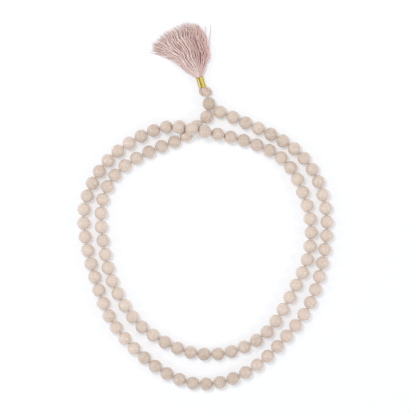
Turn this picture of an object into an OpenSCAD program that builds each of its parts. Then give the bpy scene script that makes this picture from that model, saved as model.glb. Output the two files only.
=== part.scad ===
// Mala prayer beads: 108 round stone beads and one guru bead on a single string,
// wound twice round and lying on a flat surface, with a thread tassel in a metal sleeve.
// Millimetres. X is across the loop, Y runs up towards the tassel, Z is up off the surface.

/* [Beads] */
// Number of counting beads on the string
bead_count = 108; // [108:1:108]
// Diameter of every bead
bead_diameter = 8; // [6:0.5:10]
// Distance along the string from one bead to the next
bead_pitch = 8.25; // [8.2:0.05:8.4]
// Diameter of the hole drilled through a counting bead
bead_bore = 1; // [0.8:0.1:1.4]
// Diameter of the wider hole through the guru bead
guru_bore = 1.8; // [1.6:0.1:2]
// Width of the bevel round the mouth of a hole
mouth_bevel = 0.25; // [0.1:0.05:0.4]

/* [String] */
// Diameter of the string
string_diameter = 0.6; // [0.5:0.05:0.7]
// Flat faces round the string
string_sides = 8; // [6:1:12]
// How far a length of string stops short of a fold
string_end_gap = 0.08; // [0.02:0.02:0.2]
// Diameter of the knot above the guru bead
knot_diameter = 2.2; // [2:0.1:2.6]

/* [Tassel] */
// Outside diameter of the metal sleeve
sleeve_diameter = 4.4; // [4:0.1:5]
// Wall of the metal sleeve
sleeve_wall = 0.3; // [0.2:0.05:0.5]
// Length of the metal sleeve
sleeve_length = 6.2; // [5:0.1:7]
// Height of the sleeve's axis above the surface
sleeve_height = 3; // [2.6:0.1:4]
// Threads' ridges round each lock of the skirt
lock_ridges = 7; // [5:1:9]

/* [Hidden] */
$fn = 72;
bead_r = bead_diameter / 2;
string_r = string_diameter / 2;
sleeve_r = sleeve_diameter / 2;

stone_side = [0.89, 0.80, 0.76];
stone_guru = [0.83, 0.75, 0.69];
string_pink = [0.80, 0.62, 0.60];
thread_pink = [0.72, 0.52, 0.51];
brass_gold = [0.85, 0.68, 0.25];

// The course of the string through two turns of the loop, from below the guru bead
// round to below it again. The second turn is inside the first and passes over the
// string's last beads near the top.
route = [
    [5.5, 58.5, 4], [13.5, 55.5, 4], [25, 50.5, 4], [39.5, 44, 4], [54.5, 35, 4],
    [65, 23, 4], [70, 12, 4], [73.5, -1, 4], [74, -17, 4], [71.5, -33, 4],
    [67.5, -49.5, 4], [60.5, -65, 4], [50, -78, 4], [38.5, -90.5, 4], [25, -100.5, 4],
    [9.5, -106.5, 4], [-7.5, -107, 4], [-23, -101, 4], [-37, -91, 4], [-49, -79, 4],
    [-58.5, -65, 4], [-64.5, -49, 4], [-69, -33.5, 4], [-72.5, -17, 4], [-73, -1, 4],
    [-67.5, 15, 4], [-58, 28.5, 4], [-45.5, 38.5, 4], [-31, 46, 4.6], [-24, 47.9, 5.6],
    [-16, 48.4, 8.8], [-7.6, 46.4, 12.2], [0.7, 45, 10.6], [8.8, 43.2, 7], [16.8, 41.7, 4.6],
    [24.5, 39.5, 4], [32.5, 37, 4], [46.5, 29.5, 4], [54.5, 20, 4], [59.5, 8, 4],
    [63.5, -5, 4], [64.5, -17, 4], [62, -33, 4], [55, -48, 4], [47, -63, 4],
    [37.5, -76.5, 4], [23, -85.5, 4], [6.5, -89.5, 4], [-10, -88, 4], [-25, -81.5, 4],
    [-39.5, -71.5, 4], [-49, -58.5, 4], [-56.5, -43.5, 4], [-60, -28, 4], [-62.5, -11.5, 4],
    [-61.5, 5, 4], [-54, 19.5, 4], [-40.5, 29.5, 4], [-25.5, 36.5, 4], [-17, 39.3, 4],
    [-9.6, 43.1, 4], [-4.6, 49.4, 4], [1.6, 54, 4], [4.6, 56.6, 4]
];

// The rigid lengths of the folded loop: name, first bead, last bead. The string bends
// in the gap between one length and the next.
links = [
    ["top_right", 1, 8],
    ["outer_right_1", 9, 11], ["outer_right_2", 12, 14], ["outer_right_3", 15, 17],
    ["outer_right_4", 18, 20], ["outer_right_5", 21, 23],
    ["outer_bottom", 24, 34],
    ["outer_left_5", 35, 37], ["outer_left_4", 38, 40], ["outer_left_3", 41, 43],
    ["outer_left_2", 44, 46], ["outer_left_1", 47, 49],
    ["crossing", 50, 64],
    ["inner_right_1", 65, 67], ["inner_right_2", 68, 70], ["inner_right_3", 71, 73],
    ["inner_right_4", 74, 76],
    ["inner_bottom", 77, 88],
    ["inner_left_4", 89, 91], ["inner_left_3", 92, 94], ["inner_left_2", 95, 97],
    ["inner_left_1", 98, 101],
    ["top_left", 102, 108]
];

// Beads that have a node of their own, because they touch the guru bead.
first_bead = 1;
last_bead = bead_count;

function spline_point(a, b, c, d, t) =
    0.5 * (2 * b + (c - a) * t + (2 * a - 5 * b + 4 * c - d) * t * t
        + (3 * b - 3 * c + d - a) * t * t * t);

// A smooth curve through a list of points, with `steps` points for each span.
function smooth(p, steps) =
    let (last = len(p) - 1)
    concat(
        [for (i = [0 : last - 1], j = [0 : steps - 1])
            spline_point(
                i > 0 ? p[i - 1] : 2 * p[0] - p[1], p[i], p[i + 1],
                i + 2 <= last ? p[i + 2] : 2 * p[last] - p[last - 1], j / steps)],
        [p[last]]);

// The length of a polyline up to each of its points.
function run_lengths(p) =
    [for (i = 0, s = 0; i < len(p); s = s + (i + 1 < len(p) ? norm(p[i + 1] - p[i]) : 0), i = i + 1) s];

function table_of(keys, p, k) = [for (i = [0 : len(p) - 1]) [keys[i], p[i][k]]];

// `count` + 1 points spaced equally along a polyline.
function spaced(p, count) =
    let (
        keys = run_lengths(p),
        xs = table_of(keys, p, 0), ys = table_of(keys, p, 1), zs = table_of(keys, p, 2),
        step = keys[len(p) - 1] / count
    )
    [for (i = [0 : count]) [lookup(i * step, xs), lookup(i * step, ys), lookup(i * step, zs)]];

natural = smooth(route, 12);
natural_lengths = run_lengths(natural);
route_scale = bead_count * bead_pitch / natural_lengths[len(natural) - 1];

// gaps[i] is the point on the string between bead i and bead i + 1.
gaps = spaced([for (p = natural) [p.x * route_scale, p.y * route_scale, p.z]], bead_count);

function bead_centre(i) = (gaps[i - 1] + gaps[i]) / 2;
function unit(v) = v / norm(v);
function bead_axis(i) = unit(gaps[i] - gaps[i - 1]);

// The guru bead stands above the two ends of the string, its hole towards the tassel.
guru_centre = [2.7, 61.4, bead_r];
guru_angle = 101;
guru_axis = [cos(guru_angle), sin(guru_angle), 0];
guru_side = [sin(guru_angle), -cos(guru_angle), 0];
guru_foot = guru_centre - bead_r * guru_axis;
guru_head = guru_centre + bead_r * guru_axis;
knot_centre = guru_head + (knot_diameter / 2 + 0.15) * guru_axis;
pair_offset = 0.36;

// The tassel: sleeve axis, and its two ends.
sleeve_angle = 107.5;
sleeve_axis = [cos(sleeve_angle), sin(sleeve_angle), 0];
sleeve_side = [sin(sleeve_angle), -cos(sleeve_angle), 0];
sleeve_centre = [-2.1, 74, sleeve_height];
sleeve_tail = sleeve_centre + sleeve_length / 2 * sleeve_axis;

// Turns the Z axis onto direction v.
module along(v) {
    rotate([0, acos(v.z / norm(v)), atan2(v.y, v.x)]) children();
}

// A closed body swept along a list of points. At each point the section is an ellipse
// of half-width w[i] and half-height h[i], with ridges of the given depth.
module swept(p, w, h, sides, ridges = 0, depth = 0) {
    n = len(p);
    function tangent(i) = unit(p[min(i + 1, n - 1)] - p[max(i - 1, 0)]);
    function side(i) = unit(cross(tangent(i), [0, 0, 1]));
    function up(i) = cross(side(i), tangent(i));
    function ridge(a) = 1 - depth * (0.5 + 0.5 * cos(a * ridges));
    rings = [for (i = [0 : n - 1], k = [0 : sides - 1])
        let (a = 360 * k / sides)
        p[i] + side(i) * (w[i] * cos(a) * ridge(a)) + up(i) * (h[i] * sin(a) * ridge(a))];
    walls = [for (i = [0 : n - 2], k = [0 : sides - 1])
        let (a = i * sides + k, b = i * sides + (k + 1) % sides)
        each [[a, a + sides, b], [b, a + sides, b + sides]]];
    caps = [
        for (k = [0 : sides - 1]) each [
            [n * sides, k, (k + 1) % sides],
            [n * sides + 1, (n - 1) * sides + (k + 1) % sides, (n - 1) * sides + k]
        ]
    ];
    polyhedron(concat(rings, [p[0], p[n - 1]]), concat(walls, caps));
}

module round_cord(p) {
    r = [for (i = p) string_r];
    swept(p, r, r, string_sides);
}

// A round bead drilled through, its two mouths bevelled.
module drilled_bead(bore) {
    mouth = sqrt(bead_r * bead_r - pow(bore / 2 + mouth_bevel, 2));
    difference() {
        sphere(d = bead_diameter);
        cylinder(h = bead_diameter + 1, d = bore, center = true);
        for (turn = [0, 180])
            rotate([turn, 0, 0])
                translate([0, 0, mouth - mouth_bevel])
                    cylinder(h = 2 * mouth_bevel, d1 = bore, d2 = bore + 4 * mouth_bevel);
    }
}

module counting_bead(i) {
    translate(bead_centre(i)) along(bead_axis(i)) drilled_bead(bead_bore);
}

module bead_group(first, last) {
    color(stone_side)
        for (i = [max(first, first_bead + 1) : min(last, last_bead - 1)])
            counting_bead(i);
}

// Shortens the first or last span of a polyline by `cut`.
function trimmed(p, cut) =
    let (n = len(p))
    [for (i = [0 : n - 1])
        i == 0 ? p[0] + cut * unit(p[1] - p[0])
        : i == n - 1 ? p[n - 1] + cut * unit(p[n - 2] - p[n - 1])
        : p[i]];

// The string from inside the guru bead, out of its lower hole. `level` is 1 for the
// upper of its two runs through the hole and -1 for the lower.
function guru_lead(level) =
    let (shift = [0, 0, level * pair_offset])
    [guru_head + shift + 0.1 * guru_axis, guru_centre + shift, guru_foot + shift - 0.35 * guru_axis];

// Where the string's last end turns up towards the guru bead.
last_elbow = [4.4, 56.8, 3.7];

module string_length(first, last) {
    inner = [for (i = [first - 1 : last]) gaps[i]];
    p = first == 1 ? concat(guru_lead(1), inner)
        : last == bead_count ? concat(inner, [last_elbow], [for (q = [2 : -1 : 0]) guru_lead(-1)[q]])
        : inner;
    color(string_pink) round_cord(trimmed(p, string_end_gap));
}

module first_counting_bead() {
    color(stone_side) counting_bead(first_bead);
}

module last_counting_bead() {
    color(stone_side) counting_bead(last_bead);
}

module guru_bead() {
    color(stone_guru)
        translate(guru_centre) along(guru_axis) drilled_bead(guru_bore);
}

module string_knot() {
    color(string_pink)
        translate(knot_centre) sphere(d = knot_diameter);
}

// A point given as distance along the sleeve's axis from its tail end, distance to the
// right of the axis, and height above the surface.
function tassel_point(q) =
    [sleeve_tail.x, sleeve_tail.y, 0] + q[0] * sleeve_axis + q[1] * sleeve_side + [0, 0, q[2]];

module tassel_body(q, w, h, sides, ridges, depth) {
    path = smooth([for (c = q) tassel_point(c)], 2);
    widths = smooth([for (c = w) [c, 0, 0]], 2);
    heights = smooth([for (c = h) [c, 0, 0]], 2);
    swept(path, [for (c = widths) c.x], [for (c = heights) c.x], sides, ridges, depth);
}

// The threads fold over the string at the knot and run through the sleeve as two bundles.
module head_bundle(way) {
    tassel_body(
        [[-10.4, way * 2.15 + 1.4, 3.3], [-9.2, way * 2 + 1, 3.2], [-7.8, way * 1.75 + 0.4, 3],
            [-6.6, way * 0.95, 3], [-5.6, way * 0.86, 3], [-0.15, way * 0.86, 3]],
        [0.7, 1.85, 1.68, 0.82, 0.74, 0.74], [0.9, 1.9, 1.8, 1.3, 1.3, 1.3], 20, 5, 0.1);
}

module tassel_head() {
    color(thread_pink) {
        head_bundle(-1);
        head_bundle(1);
    }
}

module tassel_sleeve() {
    color(brass_gold)
        translate(sleeve_centre) along(sleeve_axis) {
            difference() {
                union() {
                    cylinder(h = sleeve_length, r = sleeve_r - 0.08, center = true);
                    for (end = [-1, 1])
                        translate([0, 0, end * (sleeve_length / 2 - 0.3)])
                            cylinder(h = 0.6, r = sleeve_r, center = true);
                }
                cylinder(h = sleeve_length + 1, r = sleeve_r - sleeve_wall - 0.08, center = true);
            }
        }
}

// One lock of the skirt: points along the tassel, half-widths and half-heights.
module skirt_lock(q, w, h) {
    color(thread_pink) tassel_body(q, w, h, 28, lock_ridges, 0.14);
}

module skirt_lock_1() {
    skirt_lock(
        [[0.6, -1.15, 2.35], [4, -4, 1.9], [8.5, -7.2, 1.6], [14, -9, 1.4], [19.5, -13.5, 1.1], [25.5, -18.8, 0.75]],
        [0.5, 1.2, 2.2, 2.6, 3.2, 3.4], [0.6, 1, 1.3, 1.1, 0.85, 0.6]);
}

module skirt_lock_2() {
    skirt_lock(
        [[0.6, -0.62, 3.75], [5, -3, 4], [11, -5.4, 4.1], [17, -7.6, 3.7], [23.5, -11, 3], [29.8, -14, 2.2]],
        [0.55, 1.6, 2.8, 3.4, 3.9, 3.8], [0.6, 1, 1.15, 1, 0.85, 0.6]);
}

module skirt_lock_3() {
    skirt_lock(
        [[0.6, 0, 2.35], [5, -0.6, 1.9], [12.5, -1.8, 1.6], [19.5, -3, 1.4], [26.5, -4.6, 1.1], [32.5, -6.2, 0.75]],
        [0.5, 1.2, 2.8, 3.6, 4.1, 3.8], [0.6, 1, 1.3, 1.1, 0.85, 0.6]);
}

module skirt_lock_4() {
    skirt_lock(
        [[0.6, 0.62, 3.75], [5, 1.6, 4], [12.5, 2.6, 4.1], [19.5, 2.6, 3.7], [26.5, 2.4, 3], [33.4, 1.8, 2.2]],
        [0.55, 1.6, 3, 3.6, 4, 3.6], [0.6, 1, 1.15, 1, 0.85, 0.6]);
}

module skirt_lock_5() {
    skirt_lock(
        [[0.6, 1.15, 2.35], [4.5, 3.4, 1.9], [9.5, 6.6, 1.6], [14.5, 8.3, 1.4], [21, 8.7, 1.1], [30, 8, 0.75]],
        [0.5, 1.3, 2, 2.5, 2.7, 2.2], [0.6, 1, 1.3, 1.1, 0.85, 0.6]);
}

// The sub-part to draw, or all of them

for (l = links) {
    bead_group(l[1], l[2]);
    string_length(l[1], l[2]);
}
first_counting_bead();  // first_bead
last_counting_bead();  // last_bead
guru_bead();
string_knot();
tassel_head();
tassel_sleeve();
skirt_lock_1();
skirt_lock_2();
skirt_lock_3();
skirt_lock_4();
skirt_lock_5();
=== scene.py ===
"""Mala prayer beads: 108 round stone beads and a guru bead on one string, wound twice
round, with a pink thread tassel in a gold sleeve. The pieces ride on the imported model."""
import math

import bpy
import numpy as np
from mathutils import Matrix, Vector


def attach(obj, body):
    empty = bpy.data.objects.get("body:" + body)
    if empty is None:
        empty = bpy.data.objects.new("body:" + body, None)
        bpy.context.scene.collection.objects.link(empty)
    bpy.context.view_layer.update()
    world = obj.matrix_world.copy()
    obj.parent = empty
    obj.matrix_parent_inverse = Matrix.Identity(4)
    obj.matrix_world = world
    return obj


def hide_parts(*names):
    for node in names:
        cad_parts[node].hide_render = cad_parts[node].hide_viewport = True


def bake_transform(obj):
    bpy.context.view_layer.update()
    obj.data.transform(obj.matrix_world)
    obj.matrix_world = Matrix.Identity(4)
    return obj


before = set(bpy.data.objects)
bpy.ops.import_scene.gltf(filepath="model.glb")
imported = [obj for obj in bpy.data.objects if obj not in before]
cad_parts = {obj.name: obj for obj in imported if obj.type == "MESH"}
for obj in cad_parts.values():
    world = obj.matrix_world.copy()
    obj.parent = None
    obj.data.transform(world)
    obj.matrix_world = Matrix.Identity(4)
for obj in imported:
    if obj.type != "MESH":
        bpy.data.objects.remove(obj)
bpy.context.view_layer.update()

MM = 0.001
SEED = 108
rng = np.random.default_rng(SEED)

# ---------------------------------------------------------------- the string's course
# The same round route points, bead size and pitch as the CAD model, in millimetres.
ROUTE = [
    (5.5, 58.5, 4), (13.5, 55.5, 4), (25, 50.5, 4), (39.5, 44, 4), (54.5, 35, 4),
    (65, 23, 4), (70, 12, 4), (73.5, -1, 4), (74, -17, 4), (71.5, -33, 4),
    (67.5, -49.5, 4), (60.5, -65, 4), (50, -78, 4), (38.5, -90.5, 4), (25, -100.5, 4),
    (9.5, -106.5, 4), (-7.5, -107, 4), (-23, -101, 4), (-37, -91, 4), (-49, -79, 4),
    (-58.5, -65, 4), (-64.5, -49, 4), (-69, -33.5, 4), (-72.5, -17, 4), (-73, -1, 4),
    (-67.5, 15, 4), (-58, 28.5, 4), (-45.5, 38.5, 4), (-31, 46, 4.6), (-24, 47.9, 5.6),
    (-16, 48.4, 8.8), (-7.6, 46.4, 12.2), (0.7, 45, 10.6), (8.8, 43.2, 7), (16.8, 41.7, 4.6),
    (24.5, 39.5, 4), (32.5, 37, 4), (46.5, 29.5, 4), (54.5, 20, 4), (59.5, 8, 4),
    (63.5, -5, 4), (64.5, -17, 4), (62, -33, 4), (55, -48, 4), (47, -63, 4),
    (37.5, -76.5, 4), (23, -85.5, 4), (6.5, -89.5, 4), (-10, -88, 4), (-25, -81.5, 4),
    (-39.5, -71.5, 4), (-49, -58.5, 4), (-56.5, -43.5, 4), (-60, -28, 4), (-62.5, -11.5, 4),
    (-61.5, 5, 4), (-54, 19.5, 4), (-40.5, 29.5, 4), (-25.5, 36.5, 4), (-17, 39.3, 4),
    (-9.6, 43.1, 4), (-4.6, 49.4, 4), (1.6, 54, 4), (4.6, 56.6, 4),
]
BEADS = 108
PITCH = 8.25
BEAD_R = 4.0
BORE_R = 0.5
GURU_BORE_R = 0.9
STRING_R = 0.3

# The rigid lengths of the loop: body, first bead, last bead, in order along the string.
LINKS = [
    ("top_right", 1, 8),
    ("outer_right_1", 9, 11), ("outer_right_2", 12, 14), ("outer_right_3", 15, 17),
    ("outer_right_4", 18, 20), ("outer_right_5", 21, 23),
    ("outer_bottom", 24, 34),
    ("outer_left_5", 35, 37), ("outer_left_4", 38, 40), ("outer_left_3", 41, 43),
    ("outer_left_2", 44, 46), ("outer_left_1", 47, 49),
    ("crossing", 50, 64),
    ("inner_right_1", 65, 67), ("inner_right_2", 68, 70), ("inner_right_3", 71, 73),
    ("inner_right_4", 74, 76),
    ("inner_bottom", 77, 88),
    ("inner_left_4", 89, 91), ("inner_left_3", 92, 94), ("inner_left_2", 95, 97),
    ("inner_left_1", 98, 101),
    ("top_left", 102, 108),
]


UP = np.array([0, 0, 1])


def unit(v):
    v = np.asarray(v, float)
    return v / np.linalg.norm(v)


def smooth(points, steps):
    """A Catmull-Rom curve through the points, with that many steps for each span."""
    p = np.array(points, float)
    padded = np.vstack([2 * p[0] - p[1], p, 2 * p[-1] - p[-2]])
    out = []
    for i in range(len(p) - 1):
        a, b, c, d = padded[i:i + 4]
        for t in np.arange(steps) / steps:
            out.append(
                0.5 * (2 * b + (c - a) * t + (2 * a - 5 * b + 4 * c - d) * t * t
                       + (3 * b - 3 * c + d - a) * t ** 3)
            )
    out.append(p[-1])
    return np.array(out)


def run_lengths(p):
    return np.r_[0, np.cumsum(np.linalg.norm(np.diff(p, axis=0), axis=1))]


def resample(p, count):
    """That many points, equally spaced along a polyline."""
    s = run_lengths(p)
    at = np.linspace(0, s[-1], count)
    return np.column_stack([np.interp(at, s, p[:, k]) for k in range(3)])


# The route scaled so that the beads fill it. Each gap is the point between two neighbouring beads.
natural = smooth(ROUTE, 12)
route_scale = BEADS * PITCH / run_lengths(natural)[-1]
gaps = resample(natural * np.array([route_scale, route_scale, 1]), BEADS + 1)


def bead_centre(i):
    return (gaps[i - 1] + gaps[i]) / 2


def bead_axis(i):
    return unit(gaps[i] - gaps[i - 1])


def direction(degrees):
    """The level direction at that angle, counter-clockwise from X."""
    a = math.radians(degrees)
    return np.array([math.cos(a), math.sin(a), 0])


def right_of(degrees):
    """The level direction to the right of the one at that angle."""
    a = math.radians(degrees)
    return np.array([math.sin(a), -math.cos(a), 0])


# The guru bead, the knot over its hole and the sleeve of the tassel, as in the CAD model.
GURU_ANGLE = 101
KNOT_R = 1.1
KNOT_GAP = 0.15
guru_centre = np.array([2.7, 61.4, BEAD_R])
guru_axis = direction(GURU_ANGLE)
guru_head = guru_centre + BEAD_R * guru_axis
guru_foot = guru_centre - BEAD_R * guru_axis
knot_centre = guru_head + (KNOT_R + KNOT_GAP) * guru_axis
SLEEVE_ANGLE = 107.5
SLEEVE_LENGTH = 6.2
SLEEVE_R = 2.2
sleeve_axis = direction(SLEEVE_ANGLE)
sleeve_side = right_of(SLEEVE_ANGLE)
sleeve_centre = np.array([-2.1, 74, 3.0])
sleeve_tail = sleeve_centre + SLEEVE_LENGTH / 2 * sleeve_axis


def tassel_points(q):
    """Places of the tassel's points, each given as (along, right, height) from the sleeve's tail."""
    q = np.array(q, float)
    base = np.array([sleeve_tail[0], sleeve_tail[1], 0])
    return base + q[:, :1] * sleeve_axis + q[:, 1:2] * sleeve_side + q[:, 2:] * UP


# ---------------------------------------------------------------- mesh building
def frames_along(path):
    """Tangent and two normals at each point of a path, with no sudden twist."""
    tangent = np.gradient(path, axis=0)
    tangent /= np.linalg.norm(tangent, axis=1)[:, None]
    steep = abs(tangent[0] @ UP) > 0.9
    n = np.array([1.0, 0, 0]) if steep else UP
    normal = np.zeros_like(path)
    for i, t in enumerate(tangent):
        n = unit(n - (n @ t) * t)
        normal[i] = n
    return tangent, normal, np.cross(tangent, normal)


PLIES = 3


class Strands:
    """Collects many swept threads into one mesh. Each vertex keeps the tone of its thread and its
    place along it, from 0 to 1."""

    def __init__(self):
        self.verts, self.faces, self.tone, self.run, self.count = [], [], [], [], 0

    def add(self, path, radius, sides, twist, depth, tone):
        """A thread with one radius or one for each point. Its plies wind round it every `twist` mm."""
        n = len(path)
        _, normal, side = frames_along(path)
        s = run_lengths(path)
        angle = np.linspace(0, 2 * math.pi, sides, endpoint=False)
        wound = angle[None, :] - 2 * math.pi * s[:, None] / twist
        swell = 1 - depth * (0.5 - 0.5 * np.cos(PLIES * wound))
        r = np.asarray(radius).reshape(-1, 1) * swell
        ring = (path[:, None, :] + normal[:, None, :] * (r * np.cos(angle))[..., None]
                + side[:, None, :] * (r * np.sin(angle))[..., None])
        base = self.count
        self.verts.append(ring.reshape(-1, 3))
        self.verts.append(path[[0, -1]])
        i = np.arange(n - 1)[:, None] * sides
        k = np.arange(sides)[None, :]
        k2 = (k + 1) % sides
        quads = np.stack([i + k, i + k2, i + sides + k2, i + sides + k], -1).reshape(-1, 4) + base
        self.faces.extend(quads.tolist())
        first, last = base + n * sides, base + n * sides + 1
        end = base + (n - 1) * sides
        for j in range(sides):
            self.faces.append([first, base + (j + 1) % sides, base + j])
            self.faces.append([last, end + j, end + (j + 1) % sides])
        self.tone.append(np.full(n * sides + 2, tone))
        self.run.append(np.r_[np.repeat(s / s[-1], sides), 0, 1])
        self.count += n * sides + 2

    def mesh(self, name):
        mesh = bpy.data.meshes.new(name)
        mesh.from_pydata(np.vstack(self.verts) * MM, [], self.faces)
        for key, values in (("tone", self.tone), ("run", self.run)):
            attribute = mesh.attributes.new(key, "FLOAT", "POINT")
            attribute.data.foreach_set("value", np.concatenate(values).astype(np.float32))
        mesh.shade_smooth()
        mesh.update()
        return mesh


def new_object(name, mesh, material):
    obj = bpy.data.objects.new(name, mesh)
    bpy.context.scene.collection.objects.link(obj)
    mesh.materials.append(material)
    return obj


def standing_at(centre, axis):
    """The matrix that moves a lathed piece to a centre and turns its Z along an axis."""
    turn = Vector(axis).to_track_quat("Z", "Y").to_matrix().to_4x4()
    return Matrix.Translation(Vector(centre) * MM) @ turn


def lathe(name, profile, segments):
    """A closed ring-shaped solid: the closed profile of (radius, height) turned round Z."""
    profile = np.array(profile, float)
    n = len(profile)
    angle = np.linspace(0, 2 * math.pi, segments, endpoint=False)
    verts = np.stack([
        profile[None, :, 0] * np.cos(angle)[:, None],
        profile[None, :, 0] * np.sin(angle)[:, None],
        np.repeat(profile[None, :, 1], segments, 0),
    ], -1).reshape(-1, 3)
    faces = []
    for a in range(segments):
        b = (a + 1) % segments
        for j in range(n):
            k = (j + 1) % n
            faces.append([a * n + j, a * n + k, b * n + k, b * n + j])
    mesh = bpy.data.meshes.new(name)
    mesh.from_pydata(verts * MM, [], faces)
    mesh.shade_smooth()
    mesh.update()
    return mesh, verts


# ---------------------------------------------------------------- materials
class Nodes:
    """Short names for making a node material."""

    def __init__(self, name):
        self.material = bpy.data.materials.new(name)
        self.material.use_nodes = True
        self.tree = self.material.node_tree
        self.shader = self.tree.nodes["Principled BSDF"]

    def add(self, kind, values=None, **settings):
        node = self.tree.nodes.new(kind)
        for key, value in settings.items():
            setattr(node, key, value)
        for key, value in (values or {}).items():
            node.inputs[key].default_value = value
        return node

    def link(self, out, into):
        self.tree.links.new(out, into)

    def set(self, **values):
        for key, value in values.items():
            self.shader.inputs[key.replace("_", " ")].default_value = value

    def attribute(self, name):
        return self.add("ShaderNodeAttribute", attribute_name=name)

    def noise(self, vector, scale, detail=3.0, roughness=0.5, distortion=0.0):
        node = self.add("ShaderNodeTexNoise", {
            "Scale": scale, "Detail": detail, "Roughness": roughness, "Distortion": distortion})
        self.link(vector, node.inputs["Vector"])
        return node.outputs["Fac"]

    def ramp(self, factor, stops):
        node = self.add("ShaderNodeValToRGB")
        while len(node.color_ramp.elements) < len(stops):
            node.color_ramp.elements.new(0.5)
        for element, (position, colour) in zip(node.color_ramp.elements, stops):
            element.position = position
            element.color = (*colour, 1)
        self.link(factor, node.inputs["Fac"])
        return node.outputs["Color"]

    def mix(self, factor, a, b, blend_type="MIX"):
        node = self.add("ShaderNodeMix", data_type="RGBA", blend_type=blend_type)
        sockets = [s for s in node.inputs if s.enabled]
        for socket, value in zip(sockets, (factor, a, b)):
            if isinstance(value, (float, int)):
                socket.default_value = value
            elif isinstance(value, tuple):
                socket.default_value = (*value, 1)
            else:
                self.link(value, socket)
        return [s for s in node.outputs if s.enabled][0]

    def scale_range(self, factor, low, high, start=0.0, stop=1.0):
        node = self.add("ShaderNodeMapRange", {
            "From Min": start, "From Max": stop, "To Min": low, "To Max": high})
        self.link(factor, node.inputs["Value"])
        return node.outputs["Result"]

    def bump(self, height, strength, distance):
        node = self.add("ShaderNodeBump", {"Strength": strength, "Distance": distance})
        self.link(height, node.inputs["Height"])
        self.link(node.outputs["Normal"], self.shader.inputs["Normal"])


def stone_material(name, pink, beige, pale):
    """Cloudy polished stone. The tone given to each bead, which for the string's beads is partly
    painted light, moves its colour from beige to pink.
    """
    m = Nodes(name)
    coordinates = m.add("ShaderNodeTexCoord").outputs["Object"]
    shift = m.attribute("shift").outputs["Vector"]
    moved = m.add("ShaderNodeVectorMath", operation="ADD")
    m.link(coordinates, moved.inputs[0])
    m.link(shift, moved.inputs[1])
    place = moved.outputs["Vector"]
    tone = m.attribute("tone").outputs["Fac"]
    body = m.mix(tone, beige, pink)
    cloud_noise = m.noise(place, scale=330, detail=4, roughness=0.6, distortion=0.6)
    clouds = m.ramp(cloud_noise, [(0.32, (0, 0, 0)), (0.68, (1, 1, 1))])
    cloudy = m.mix(clouds, body, pale)
    softened = m.mix(0.5, body, cloudy)
    grain_noise = m.noise(place, scale=1300, detail=2)
    grains = m.ramp(grain_noise, [(0.3, (0.88, 0.85, 0.84)), (0.6, (1, 1, 1))])
    grained = m.mix(0.8, softened, grains, "MULTIPLY")
    vein_noise = m.noise(place, scale=190, detail=6, roughness=0.65, distortion=1.6)
    veins = m.ramp(vein_noise, [(0.485, (1, 1, 1)), (0.5, (0.86, 0.79, 0.75)), (0.515, (1, 1, 1))])
    veined = m.mix(0.5, grained, veins, "MULTIPLY")
    m.link(veined, m.shader.inputs["Base Color"])
    polish = m.scale_range(m.noise(place, scale=700), low=0.18, high=0.32, start=0.3, stop=0.7)
    m.link(polish, m.shader.inputs["Roughness"])
    m.set(Subsurface_Weight=0.6, Subsurface_Radius=(1.0, 0.86, 0.8), Subsurface_Scale=0.002,
          IOR=1.5, Coat_Weight=0.6, Coat_Roughness=0.12, Sheen_Weight=0.2, Sheen_Roughness=0.5,
          Sheen_Tint=(1.0, 0.93, 0.97, 1))
    m.bump(m.noise(place, scale=1100, detail=4, roughness=0.6), strength=0.1, distance=0.0001)
    return m.material


def thread_material(name, dark, middle, light, sheen):
    """Soft plied thread. Each thread's tone picks its colour, and both its ends are paler. In the skirt
    the tone also carries painted shade and light.
    """
    m = Nodes(name)
    coordinates = m.add("ShaderNodeTexCoord").outputs["Object"]
    tone = m.attribute("tone").outputs["Fac"]
    colour = m.ramp(tone, [(0.0, dark), (0.5, middle), (1.0, light)])
    fibre_noise = m.noise(coordinates, scale=2600, roughness=0.6)
    fibre = m.ramp(fibre_noise, [(0.3, (0.84, 0.8, 0.79)), (0.65, (1, 1, 1))])
    fibrous = m.mix(0.35, colour, fibre, "MULTIPLY")
    run = m.attribute("run").outputs["Fac"]
    root = m.mix(m.scale_range(run, low=0.25, high=0.0, start=0.0, stop=0.22), fibrous, light)
    faded = m.mix(m.scale_range(run, low=0.0, high=0.42, start=0.6, stop=0.97), root, light)
    m.link(faded, m.shader.inputs["Base Color"])
    dullness = m.noise(coordinates, scale=900, detail=2)
    dull = m.scale_range(dullness, low=0.45, high=0.65, start=0.3, stop=0.7)
    m.link(dull, m.shader.inputs["Roughness"])
    m.set(Sheen_Weight=sheen, Sheen_Roughness=0.4, Sheen_Tint=(1.0, 0.93, 0.91, 1), IOR=1.46)
    m.bump(m.noise(coordinates, scale=4200, roughness=0.7), strength=0.35, distance=0.00008)
    return m.material


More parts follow.
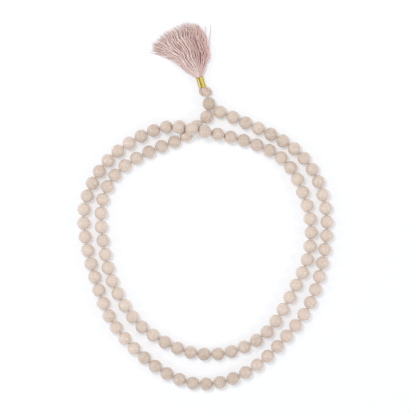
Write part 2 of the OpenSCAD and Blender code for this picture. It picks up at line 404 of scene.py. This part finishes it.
def gold_material(name, top):
    """Thin plated brass with painted reflections: light and dark streaks along it, placed by the angle
    round it. top is the angle of its upper side.
    """
    m = Nodes(name)
    coordinates = m.add("ShaderNodeTexCoord").outputs["Object"]
    turned = m.add("ShaderNodeMapping", {"Rotation": (0, 0, -top)})
    m.link(coordinates, turned.inputs["Vector"])
    around = m.add("ShaderNodeTexGradient", gradient_type="RADIAL")
    m.link(turned.outputs["Vector"], around.inputs["Vector"])
    # Painted reflections: the bright and dark streaks round the sleeve stand in for the lamps and the
    # room mirrored in the metal.
    dark, gold, reflected_highlight = (0.34, 0.22, 0.0), (0.88, 0.64, 0.07), (1.0, 0.86, 0.32)
    painted_reflections = m.ramp(around.outputs["Fac"], [
        (0.0, gold), (0.04, reflected_highlight), (0.09, reflected_highlight), (0.13, gold), (0.18, dark), (0.25, gold),
        (0.33, reflected_highlight), (0.42, dark), (0.52, gold), (0.6, dark), (0.7, reflected_highlight), (0.79, dark),
        (0.9, reflected_highlight), (0.94, dark), (0.965, dark), (1.0, gold)])
    patina_noise = m.noise(coordinates, scale=420, detail=4, roughness=0.6)
    patina = m.ramp(patina_noise, [(0.35, (0.9, 0.86, 0.76)), (0.6, (1, 1, 1))])
    m.link(m.mix(1.0, painted_reflections, patina, "MULTIPLY"), m.shader.inputs["Base Color"])
    stretched = m.add("ShaderNodeMapping", {"Scale": (1.0, 1.0, 0.06)})
    m.link(coordinates, stretched.inputs["Vector"])
    brushed = m.noise(stretched.outputs["Vector"], scale=6000, detail=2)
    gloss = m.scale_range(brushed, low=0.28, high=0.42, start=0.3, stop=0.7)
    m.link(gloss, m.shader.inputs["Roughness"])
    m.set(Metallic=0.75)
    m.bump(brushed, strength=0.1, distance=0.00005)
    return m.material


pink_stone = stone_material(
    "pink_stone", pink=(0.79, 0.663, 0.56), beige=(0.585, 0.466, 0.37), pale=(0.86, 0.765, 0.675))
guru_stone = stone_material(
    "guru_stone", pink=(0.63, 0.51, 0.40), beige=(0.58, 0.46, 0.36), pale=(0.74, 0.64, 0.54))
string_thread = thread_material(
    "string_thread", dark=(0.72, 0.56, 0.49), middle=(0.88, 0.74, 0.66), light=(0.94, 0.85, 0.78),
    sheen=0.2)
# The dark end of this ramp colours the skirt's lower threads and hollows as painted shade.
tassel_thread = thread_material(
    "tassel_thread", dark=(0.34, 0.12, 0.11), middle=(0.65, 0.40, 0.37), light=(0.93, 0.785, 0.725),
    sheen=0.3)
head_thread = thread_material(
    "head_thread", dark=(0.40, 0.22, 0.18), middle=(0.645, 0.495, 0.41), light=(0.87, 0.75, 0.66),
    sheen=0.3)
gold_metal = gold_material("gold_metal", -math.pi / 2)

# ---------------------------------------------------------------- beads
BEAD_SEGMENTS = 48
ARC_STEPS = 30
MOUTH_BEVEL = 0.25
BORE_WALL_REACH = 2.6
BORE_WALL_STEPS = 4
# The hand-ground surface: shallow waves over the sphere. They leave the wall of the bore alone.
WAVES = 4
WAVE_STEEPNESS = 2.2
WAVE_DEPTH = 0.002
WAVES_START_R = 3.6
WAVES_FULL_R = 3.9


def bead_profile(bore_r):
    """Half section of a drilled round bead, its mouths softly rounded by the drill."""
    lip = bore_r + MOUTH_BEVEL
    start = math.asin(lip / BEAD_R)
    angles = np.linspace(start, math.pi - start, ARC_STEPS)
    arc = [(BEAD_R * math.sin(a), BEAD_R * math.cos(a)) for a in angles]
    top = arc[0][1]
    lip_top = [
        (bore_r, top - 0.42), (bore_r + 0.02, top - 0.24), (bore_r + 0.09, top - 0.09),
        (lip - 0.07, top - 0.015)]
    lip_foot = [(r, -z) for r, z in reversed(lip_top)]
    wall = [(bore_r, z) for z in np.linspace(-BORE_WALL_REACH, BORE_WALL_REACH, BORE_WALL_STEPS)]
    return lip_top + arc + lip_foot + wall


def ground_surface(verts):
    """The bead's vertices, its outside pressed in a little by a few random waves."""
    distance = np.linalg.norm(verts, axis=1)
    outward = verts / distance[:, None]
    waviness = sum(
        np.sin(outward @ rng.normal(0, WAVE_STEEPNESS, 3) + rng.uniform(0, 6.3))
        for _ in range(WAVES)) / WAVES
    surface = np.clip((distance - WAVES_START_R) / (WAVES_FULL_R - WAVES_START_R), 0, 1)
    return verts * (1 - surface * WAVE_DEPTH * (1 + waviness))[:, None]


def make_bead(name, centre, axis, bore_r, tone, material, body, node):
    mesh, verts = lathe(name, bead_profile(bore_r), BEAD_SEGMENTS)
    mesh.vertices.foreach_set("co", (ground_surface(verts) * MM).ravel())
    count = len(mesh.vertices)
    tones = mesh.attributes.new("tone", "FLOAT", "POINT")
    tones.data.foreach_set("value", np.full(count, tone, np.float32))
    shift = rng.uniform(-1, 1, 3).astype(np.float32)
    shifts = mesh.attributes.new("shift", "FLOAT_VECTOR", "POINT")
    shifts.data.foreach_set("vector", np.tile(shift, count))
    mesh.update()
    obj = new_object(name, mesh, material)
    roll = Matrix.Rotation(rng.uniform(0, 2 * math.pi), 4, "Z")
    obj.matrix_world = standing_at(centre, axis) @ roll
    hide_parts(node)
    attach(obj, body)


def body_of_link(link):
    return "top" if link.startswith("top_") else link


def bead_home(i):
    """The body and node of a bead."""
    if i == 1:
        return "first_bead", "first_bead"
    if i == BEADS:
        return "last_bead", "last_bead"
    link = next(name for name, first, last in LINKS if first <= i <= last)
    return body_of_link(link), link + "_beads"


# Tones run from 0, beige, to 1, pink.
PLAIN_TONE = 0.12
# Partly painted light: the side beads are paler where the side lamps fall on them, and partly their own
# pinker tint.
SIDE_TINT_AND_PAINTED_LIGHT = 0.82
SIDE_DISTANCE = 45
SIDE_FADE_AT_TOP = 0.45
TOP_DISTANCE = 30
CROSSING = np.array([-6, 47])
# Painted light: the beads round the crossing are made paler against the shade of the strand that arches
# over them.
CROSSING_PAINTED_LIGHT = 0.55
CROSSING_REACH = 18
TONE_SPREAD = 0.13
GURU_TONE = 0.3


def bead_tone(centre):
    """The beads at the sides of the loop are pinker and paler, partly their own tint and partly painted
    light from the side lamps. The beads where the loop crosses are paler as painted light against the
    shade of the strand over them.
    """
    x, y, _ = centre
    fade = 1 - SIDE_FADE_AT_TOP * np.clip(y / TOP_DISTANCE, 0, 1)
    sideways = min(1, abs(x) / SIDE_DISTANCE) ** 1.5 * fade
    crossing = max(0, 1 - np.linalg.norm(centre[:2] - CROSSING) / CROSSING_REACH)
    tone = PLAIN_TONE + SIDE_TINT_AND_PAINTED_LIGHT * sideways + CROSSING_PAINTED_LIGHT * crossing
    return float(np.clip(tone + rng.normal(0, TONE_SPREAD), 0, 1))


for i in range(1, BEADS + 1):
    body, node = bead_home(i)
    centre = bead_centre(i)
    make_bead(f"bead_{i:03d}", centre, bead_axis(i), BORE_R, bead_tone(centre),
              pink_stone, body, node)

make_bead("guru_bead_stone", guru_centre, guru_axis, GURU_BORE_R, GURU_TONE,
          guru_stone, "guru_bead", "guru_bead")

# ---------------------------------------------------------------- string
STRING_STEP = 0.22
STRING_SIDES = 12
STRING_TWIST = 2.6
CORNER_REACH = 0.5
# The string is cut at this gap: the loop's last joint is left open there.
OPEN_PIVOT_GAP = 64


def softened(p):
    """A polyline sampled finely, with its corners rounded."""
    length = run_lengths(p)[-1]
    fine = resample(p, max(8, int(length / STRING_STEP)))
    window = max(1, int(CORNER_REACH / STRING_STEP))
    out = fine.copy()
    for i in range(window, len(fine) - window):
        out[i] = fine[i - window:i + window + 1].mean(axis=0)
    return out


def make_string(name, p, nodes):
    strands = Strands()
    strands.add(softened(p), STRING_R, STRING_SIDES, STRING_TWIST, depth=0.22, tone=0.5)
    obj = new_object(name, strands.mesh(name), string_thread)
    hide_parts(*nodes)
    return obj


def middle_of(first, last):
    """A point inside the bore of the link's middle bead."""
    return bead_centre((first + last) // 2)


# A length of string runs from inside the middle bead of each link to that of the next.
for (a, a_first, a_last), (b, b_first, b_last) in zip(LINKS[:-1], LINKS[1:]):
    before = [gaps[k] for k in range((a_first + a_last) // 2, a_last)]
    after = [gaps[k] for k in range(a_last + 1, (b_first + b_last) // 2)]
    fold = gaps[a_last]
    start = [middle_of(a_first, a_last)] + before
    stop = after + [middle_of(b_first, b_last)]
    if a_last == OPEN_PIVOT_GAP:
        rest_a = make_string(f"string_{a}_end", np.array(start + [fold]), [a + "_string"])
        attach(rest_a, body_of_link(a))
        rest_b = make_string(f"string_{b}_end", np.array([fold] + stop), [b + "_string"])
        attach(rest_b, body_of_link(b))
        continue
    course = np.array(start + [fold] + stop)
    piece = make_string(f"string_{a}_to_{b}", course, [a + "_string", b + "_string"])
    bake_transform(piece)


# The string's two ends lie one above the other in the guru bead and close in on the knot.
PAIR_OFFSET = 0.36
PAIR_CLOSING = 0.4
PAIR_FOOT = 0.35
# Where the last length of string bends up into the guru bead.
LAST_ELBOW = (4.4, 56.8, 3.7)


def guru_lead(level):
    """The way of one end through the guru bead, from the knot down. level is 1 above, -1 below."""
    shift = level * PAIR_OFFSET * UP
    return [knot_centre + PAIR_CLOSING * shift, guru_head + shift, guru_centre + shift,
            guru_foot + shift - PAIR_FOOT * guru_axis]


right_end = make_string(
    "string_start", np.array(guru_lead(1) + list(gaps[0:4]) + [middle_of(1, 8)]), ["top_right_string"])
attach(right_end, "top")
left_end = make_string(
    "string_finish",
    np.array([middle_of(102, 108)] + list(gaps[105:109]) + [LAST_ELBOW] + guru_lead(-1)[::-1]),
    ["top_left_string"])
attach(left_end, "top")


KNOT_THREAD_R = 0.36
KNOT_SIDES = 10
KNOT_TURNS = 7
KNOT_TILTS = 2
KNOT_POINTS = 420


def knot_turns():
    """Cord wound round in one tight ball-shaped knot: turns of a coil that wanders over a sphere."""
    t = np.linspace(0, 1, KNOT_POINTS)
    turns = 2 * math.pi * KNOT_TURNS * t
    tilt = 2 * math.pi * KNOT_TILTS * t
    reach = KNOT_R - KNOT_THREAD_R
    local = np.column_stack([
        np.cos(turns), np.sin(turns) * np.cos(tilt), np.sin(turns) * np.sin(tilt)])
    basis = np.array([guru_axis, np.cross(guru_axis, UP), UP])
    return knot_centre + reach * local @ basis


knot = Strands()
knot.add(knot_turns(), KNOT_THREAD_R, KNOT_SIDES, STRING_TWIST, depth=0.18, tone=0.8)
knot_object = new_object("tied_knot", knot.mesh("tied_knot"), string_thread)
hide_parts("string_knot")
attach(knot_object, "knot")

# ---------------------------------------------------------------- tassel sleeve
SLEEVE_WALL = 0.38
SLEEVE_SEGMENTS = 96


def sleeve_profile():
    """Half section of the sleeve: a thin tube with a low rolled rim at each end."""
    half = SLEEVE_LENGTH / 2
    inner = SLEEVE_R - SLEEVE_WALL
    rim = [
        (SLEEVE_R - 0.06, half), (SLEEVE_R, half - 0.1), (SLEEVE_R, half - 0.42),
        (SLEEVE_R - 0.1, half - 0.52)]
    tube = [(SLEEVE_R - 0.08, z) for z in np.linspace(half - 0.7, -half + 0.7, 9)]
    inside = [
        (inner + 0.08, -half), (inner, -half + 0.15), (inner, 0), (inner, half - 0.15),
        (inner + 0.08, half)]
    return rim + tube + [(r, -z) for r, z in reversed(rim)] + inside


sleeve_mesh, _ = lathe("gold_sleeve", sleeve_profile(), SLEEVE_SEGMENTS)
sleeve = new_object("gold_sleeve", sleeve_mesh, gold_metal)
sleeve.matrix_world = standing_at(sleeve_centre, sleeve_axis)
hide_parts("tassel_sleeve")
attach(sleeve, "tassel")

# ---------------------------------------------------------------- tassel head
THREAD_SIDES = 8
THREAD_TWIST = 2.2
BUNDLE_THREADS = 64
BUNDLE_THREAD_R = 0.22
BUNDLE_WOBBLE = 0.07
FOLD_THREAD_R = 0.2
# The layers of thread folded over the cord: height in the head from -1 to 1, and threads across.
FOLD_LAYERS = ((1, 34), (0.82, 26), (-1, 30))
# Turns of the tassel over the ranges of its two joints.
SWINGS = [math.radians(a) for a in (-35, -17, 0, 17, 35)]
LIFTS = [math.radians(a) for a in (-40, -20, 0, 30, 60)]
# The room kept between the head and the guru bead, and how often the threads are pressed off it.
HEAD_CLEARANCE = 0.03
PRESSES = 3


def disc_points(count):
    """Points spread evenly over a unit disc."""
    k = np.arange(count) + 0.5
    r, a = np.sqrt(k / count), k * math.pi * (3 - math.sqrt(5))
    return np.column_stack([r * np.cos(a), r * np.sin(a)])


turns_of_tassel = [
    np.array(Matrix.Rotation(swing, 3, "Z") @ Matrix.Rotation(lift, 3, Vector(sleeve_side)))
    for swing in SWINGS for lift in LIFTS
]


def keep_clear(path, radius):
    """Presses a thread of the head off the guru bead, wherever the tassel swings and lifts to."""
    for _ in range(PRESSES):
        for turn in turns_of_tassel:
            away = (path - knot_centre) @ turn.T + knot_centre - guru_centre
            distance = np.linalg.norm(away, axis=1)[:, None]
            push = np.maximum(0, BEAD_R + radius + HEAD_CLEARANCE - distance) * away / distance
            path = path + push @ turn
    return path


def head_bundle(strands, way):
    """One of the two bundles of thread that part round the knot and enter the sleeve."""
    line = smooth(tassel_points([
        (-12.0, way * 1.35 + 1.35, 3.9), (-11.3, way * 1.9 + 1.35, 3.7), (-10.4, way * 2.15 + 1.3, 3.4),
        (-9.2, way * 1.9 + 1, 3.2), (-7.8, way * 1.6 + 0.4, 3), (-6.6, way * 0.95, 3),
        (-5.6, way * 0.8, 3), (-3, way * 0.8, 3), (0, way * 0.8, 3)]), 6)
    s = run_lengths(line) / run_lengths(line)[-1]
    stops = [0, 0.07, 0.14, 0.25, 0.36, 0.46, 0.55, 1]
    width = np.interp(s, stops, [0.15, 0.5, 0.9, 1.65, 1.6, 0.8, 0.7, 0.7])
    height = np.interp(s, stops, [0.3, 0.8, 1.25, 1.8, 1.75, 1.35, 1.3, 1.3])
    _, normal, side = frames_along(line)
    for x, y in disc_points(BUNDLE_THREADS):
        wobble = BUNDLE_WOBBLE * np.sin(s * rng.uniform(8, 20) + rng.uniform(0, 6.3))
        path = line + side * (x * width + wobble)[:, None] + normal * (y * height + wobble)[:, None]
        tone = float(np.clip(rng.normal(0.55, 0.25), 0, 1))
        path = keep_clear(path, BUNDLE_THREAD_R)
        strands.add(path, BUNDLE_THREAD_R, THREAD_SIDES, THREAD_TWIST, depth=0.25, tone=tone)


def head_fold(strands):
    """Threads that leave the sleeve, pass over and under the cord and close the head round it."""
    for level, count in FOLD_LAYERS:
        for across in np.linspace(-1, 1, count):
            rise = level * math.sqrt(1 - 0.72 * across * across)
            points = [
                (-4.6, across * 1.3, 3 + 1.2 * rise),
                (-6.3, across * 1.5 + 0.1, 3 + 1.4 * rise),
                (-7.9, across * 2.6 + 0.4, 3.1 + 1.9 * rise),
                (-9.6, across * 3.15 + 0.9, 3.3 + 1.95 * rise),
                (-11.1, across * 2.6 + 1.25, 3.6 + 1.7 * rise),
                (-12.0, across * 1.5 + 1.4, 3.8 + 1.1 * rise),
                (-12.25, across * 0.8 + 1.4, 3.9 + 0.3 * rise)]
            path = keep_clear(smooth(tassel_points(points), 6), FOLD_THREAD_R)
            tone = float(np.clip(rng.normal(0.6, 0.28), 0, 1))
            strands.add(path, FOLD_THREAD_R, THREAD_SIDES, THREAD_TWIST, depth=0.2, tone=tone)


head = Strands()
head_bundle(head, -1)
head_bundle(head, 1)
head_fold(head)
head_mesh = head.mesh("tassel_head_threads")
head_object = new_object("tassel_head_threads", head_mesh, head_thread)
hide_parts("tassel_head")
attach(head_object, "tassel")

# ---------------------------------------------------------------- tassel skirt
# Guide curves over the fan: place across it from -1 to 1, then (along, right) points.
GUIDES = [
    (-1.0, [(0, -1.4), (1.5, -2.8), (4, -4.7), (7.5, -7.2), (10.5, -8.8), (14, -10.6), (17.5, -13.2),
            (23, -22)]),
    (-0.75, [(0, -1.1), (3.6, -3.4), (8.5, -6.4), (14, -8.9), (19.5, -13.5), (27.5, -20)]),
    (-0.38, [(0, -0.6), (5, -3), (11, -5.4), (17, -7.6), (23.5, -11), (31, -14.4)]),
    (0.0, [(0, 0), (5, -0.6), (12.5, -1.8), (19.5, -3), (26.5, -4.6), (33.2, -6.4)]),
    (0.38, [(0, 0.6), (5, 1.6), (12.5, 2.6), (19.5, 2.6), (26.5, 2.4), (34, 1.8)]),
    (0.75, [(0, 1.1), (4.5, 3.4), (9.5, 6.4), (14.5, 8), (21, 8.2), (31.5, 8)]),
    (1.0, [(0, 1.5), (3.5, 4.2), (7.1, 6.8), (10.5, 9.6), (13.7, 10.8), (19, 11), (28, 10.6)]),
]
STATIONS = 66
SKIRT_LENGTH = 34
YARN_R = 0.29
YARNS = 270
FINE_R = 0.13
FINE_THREADS = 170
TRESSES = 30
LOCK_MINGLE = 0.38
FAN_EDGE = 0.985
# One thread in eight wanders further from its place in the fan than the rest.
WANDERER_EVERY = 8
WANDERER_SPREAD = 0.09
THREAD_SPREAD = 0.014
# Neighbouring threads wave together, in a long sway and a short one. The phases of both change
# over evenly spaced places of the fan.
LONG_SWAY = 0.75
LONG_SWAY_LENGTH = 13
SHORT_SWAY = 0.28
SHORT_SWAY_LENGTH = 6.5
SWAY_PLACES = np.linspace(-1, 1, 9)
sway_phases = rng.uniform(-1.6, 1.6, (2, len(SWAY_PLACES)))
# Multiples of these spread evenly between 0 and 1: the golden ratio's inverse for the places
# over the fan, and the plastic number's inverse and its square for depth and mingling.
PLACE_STEP = 0.6180339887
DEPTH_STEP = 0.7548776662
MINGLE_STEP = 0.5698402910
guide_places = np.array([g[0] for g in GUIDES])
guide_lines = np.array([
    resample(smooth([(a, b, 0) for a, b in g[1]], 10), STATIONS)[:, :2] for g in GUIDES
])
# The locks' edges across the fan, and the body of each lock.
LOCKS = [
    (-1.01, -0.57, "skirt_lock_1"), (-0.57, -0.19, "skirt_lock_2"), (-0.19, 0.19, "tassel"),
    (0.19, 0.57, "skirt_lock_4"), (0.57, 1.01, "skirt_lock_5"),
]


def skirt_path(ends, layer, reach):
    """A thread's line. ends are its places in the fan at root and tip, reach a share of its length."""
    at = np.linspace(0, 1, STATIONS)
    across = np.clip(np.interp(at, [0, 1], ends), -1, 1)
    flat = np.column_stack([
        [np.interp(across[i], guide_places, guide_lines[:, i, k]) for i in range(STATIONS)]
        for k in (0, 1)
    ])
    middle = np.interp(at, [0, 0.2, 0.5, 0.8, 1], [3.0, 3.2, 2.9, 2.2, 1.5])
    thick = np.interp(at, [0, 0.2, 0.5, 0.8, 1], [1.45, 2.4, 2.5, 1.9, 1.2])
    rounding = np.sqrt(1 - 0.85 * across * across)
    narrow = np.interp(at, [0, 0.15, 1], [math.sqrt(1 - 0.8 * layer * layer), 1, 1])
    height = middle + layer * thick * rounding
    q = np.column_stack([flat[:, 0] * reach, flat[:, 1] * narrow * (1 + (reach - 1) * at), height])
    return q, at


def wave(s, length):
    """A wave of that length that starts at a random point of its swing."""
    return np.sin(2 * math.pi * s / length + rng.uniform(0, 2 * math.pi))


def shared_sway(place, s):
    """How far the threads near a place sway aside, at the lengths s along them."""
    long_phase, short_phase = (np.interp(place, SWAY_PLACES, phases) for phases in sway_phases)
    spread = s / SKIRT_LENGTH
    return spread * (LONG_SWAY * np.sin(2 * math.pi * s / LONG_SWAY_LENGTH + long_phase)
                     + SHORT_SWAY * np.sin(2 * math.pi * s / SHORT_SWAY_LENGTH + 2 * short_phase))


def add_skirt_thread(strands, thick, ends, layer, reach, kink, tone):
    """One thread of the skirt, squeezed thin where it leaves the sleeve."""
    q, at = skirt_path(ends, layer, reach)
    s = at * SKIRT_LENGTH
    loose = np.clip(at * 5, 0, 1)
    q[:, 1] += loose * (shared_sway(ends[0], s) + kink * wave(s, rng.uniform(6, 11)))
    q[:, 2] += loose * kink * wave(s, rng.uniform(6, 11))
    q[:, 2] = np.maximum(q[:, 2], thick + 0.02)
    radius = thick * np.interp(at, [0, 0.16, 0.8, 1], [0.6, 1, 0.9, 0.3])
    strands.add(tassel_points(q), radius, THREAD_SIDES, THREAD_TWIST, depth=0.14,
                tone=float(np.clip(tone, 0, 1)))


def lock_of(place):
    return next(body for low, high, body in LOCKS if low <= place < high)


def make_skirt():
    """Threads gathered into narrow tresses, prouder along the middle of each. Their tones carry painted
    light and shade: paler on the tress ridges and upper layers, darker in the hollows and lower layers.
    """
    locks = {body: Strands() for _, _, body in LOCKS}
    for thick, count in ((YARN_R, YARNS), (FINE_R, FINE_THREADS)):
        for k in range(count):
            place = 2 * FAN_EDGE * ((k * PLACE_STEP) % 1) - FAN_EDGE
            depth = (k * DEPTH_STEP) % 1
            ridge = math.sin(math.pi * TRESSES * place + 1.5 * math.sin(5 * place))
            layer = 1.6 * depth ** 1.2 - 0.95 + 0.3 * depth * ridge
            spread = WANDERER_SPREAD if k % WANDERER_EVERY == 0 else THREAD_SPREAD
            end = float(np.clip(place + rng.normal(0, spread), -0.995, 0.995))
            # Painted shade and light: lower threads and those in the hollows between tresses are
            # darker, upper ones and those on the ridges paler.
            painted_ridge_light = 0.29 - 0.14 * place
            tone = rng.normal(0.37 + 0.24 * depth + painted_ridge_light * ridge, 0.22)
            reach = rng.uniform(0.9, 1.03)
            # Threads of neighbouring locks mingle, so the fan stays whole when it opens.
            mingled = float(np.clip(end + LOCK_MINGLE * ((k * MINGLE_STEP) % 1 - 0.5), -1, 1))
            kink = rng.uniform(0.03, 0.17)
            add_skirt_thread(locks[lock_of(mingled)], thick, (place, end), layer, reach, kink, tone)
    return locks


# Threads that have strayed from the fan: the lock each belongs to, its tone and its points.
STRAYS = [
    ("skirt_lock_5", 0.55, [
        (2, 1.6, 3.5), (9, 7, 3.8), (16, 11, 3.2), (20, 12.4, 2.4), (25, 14.8, 1.4), (28, 15.8, 0.6)]),
    ("skirt_lock_5", 0.6, [
        (2, 1.4, 3), (10, 6.6, 3.4), (18, 9.6, 3), (22.7, 10.7, 2), (28.5, 12.6, 0.8)]),
    ("skirt_lock_1", 0.7, [
        (2, -1.6, 3), (9, -8, 2.6), (16, -14, 1.8), (21, -20, 0.9), (23.5, -24, 0.4)]),
]


def add_stray(strands, points, tone):
    path = smooth(tassel_points(points), 8)
    radius = YARN_R * np.linspace(1.0, 0.7, len(path))
    strands.add(path, radius, THREAD_SIDES, THREAD_TWIST, depth=0.25, tone=tone)


skirt = make_skirt()
for stray_lock, stray_tone, stray_points in STRAYS:
    add_stray(skirt[stray_lock], stray_points, stray_tone)
for number, (body, strands) in enumerate(skirt.items(), 1):
    skirt_name = f"skirt_threads_{number}"
    piece = new_object(skirt_name, strands.mesh(skirt_name), tassel_thread)
    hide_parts(f"skirt_lock_{number}")
    if body == "tassel":
        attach(piece, "tassel")
    else:
        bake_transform(piece)

# ---------------------------------------------------------------- floor, light, camera
FLOOR_HALF = 3
floor_mesh = bpy.data.meshes.new("floor")
floor_mesh.from_pydata([
    (-FLOOR_HALF, -FLOOR_HALF, 0), (FLOOR_HALF, -FLOOR_HALF, 0),
    (FLOOR_HALF, FLOOR_HALF, 0), (-FLOOR_HALF, FLOOR_HALF, 0)], [], [(0, 1, 2, 3)])
floor = bpy.data.objects.new("floor", floor_mesh)
bpy.context.scene.collection.objects.link(floor)
floor_paint = bpy.data.materials.new("floor_paint")
floor_paint.use_nodes = True
floor_shader = floor_paint.node_tree.nodes["Principled BSDF"]
floor_shader.inputs["Base Color"].default_value = (0.64, 0.65, 0.67, 1)
floor_shader.inputs["Emission Color"].default_value = (0.98, 0.99, 1.0, 1)
floor_shader.inputs["Emission Strength"].default_value = 0.357
floor_shader.inputs["Roughness"].default_value = 0.7
floor_shader.inputs["Specular IOR Level"].default_value = 0.2
floor_mesh.materials.append(floor_paint)


# All the lamps point at the middle of the loop.
LIT_POINT = Vector((0, -0.02, 0))


def area_light(name, place, size, power, colour):
    data = bpy.data.lights.new(name, "AREA")
    data.shape = "DISK"
    data.size = size
    data.energy = power
    data.color = colour
    lamp = bpy.data.objects.new(name, data)
    bpy.context.scene.collection.objects.link(lamp)
    lamp.location = place
    lamp.rotation_mode = "QUATERNION"
    lamp.rotation_quaternion = (LIT_POINT - Vector(place)).to_track_quat("-Z", "Y")
    return lamp


key_light = area_light("key_softbox", (-0.3, 0.3, 1.2), size=0.34, power=5.6, colour=(1.0, 0.97, 0.93))
key_light.visible_glossy = False
area_light("left_softbox", (-1.1, -0.12, 0.9), size=0.2, power=2.0, colour=(1.0, 0.97, 0.94))
area_light("right_softbox", (1.1, -0.2, 0.9), size=0.2, power=2.4, colour=(1.0, 0.98, 0.96))

world = bpy.data.worlds.new("studio")
world.use_nodes = True
sky = world.node_tree.nodes["Background"]
sky.inputs["Color"].default_value = (0.90, 0.94, 1.0, 1)
sky.inputs["Strength"].default_value = 0.637
scene = bpy.context.scene
scene.world = world
scene.view_settings.view_transform = "Standard"

# The camera looks straight down. Its picture is 248 mm wide at the height of the beads' middle.
CAMERA_X = 0.0021
CAMERA_Y = -0.0009
CAMERA_HEIGHT = 1.3
PICTURE_WIDTH = 0.2483
SENSOR_WIDTH = 36
camera_data = bpy.data.cameras.new("camera")
camera_data.sensor_width = SENSOR_WIDTH
camera_data.lens = SENSOR_WIDTH * (CAMERA_HEIGHT - BEAD_R * MM) / PICTURE_WIDTH
camera = bpy.data.objects.new("camera", camera_data)
scene.collection.objects.link(camera)
camera.location = (CAMERA_X, CAMERA_Y, CAMERA_HEIGHT)
scene.camera = camera
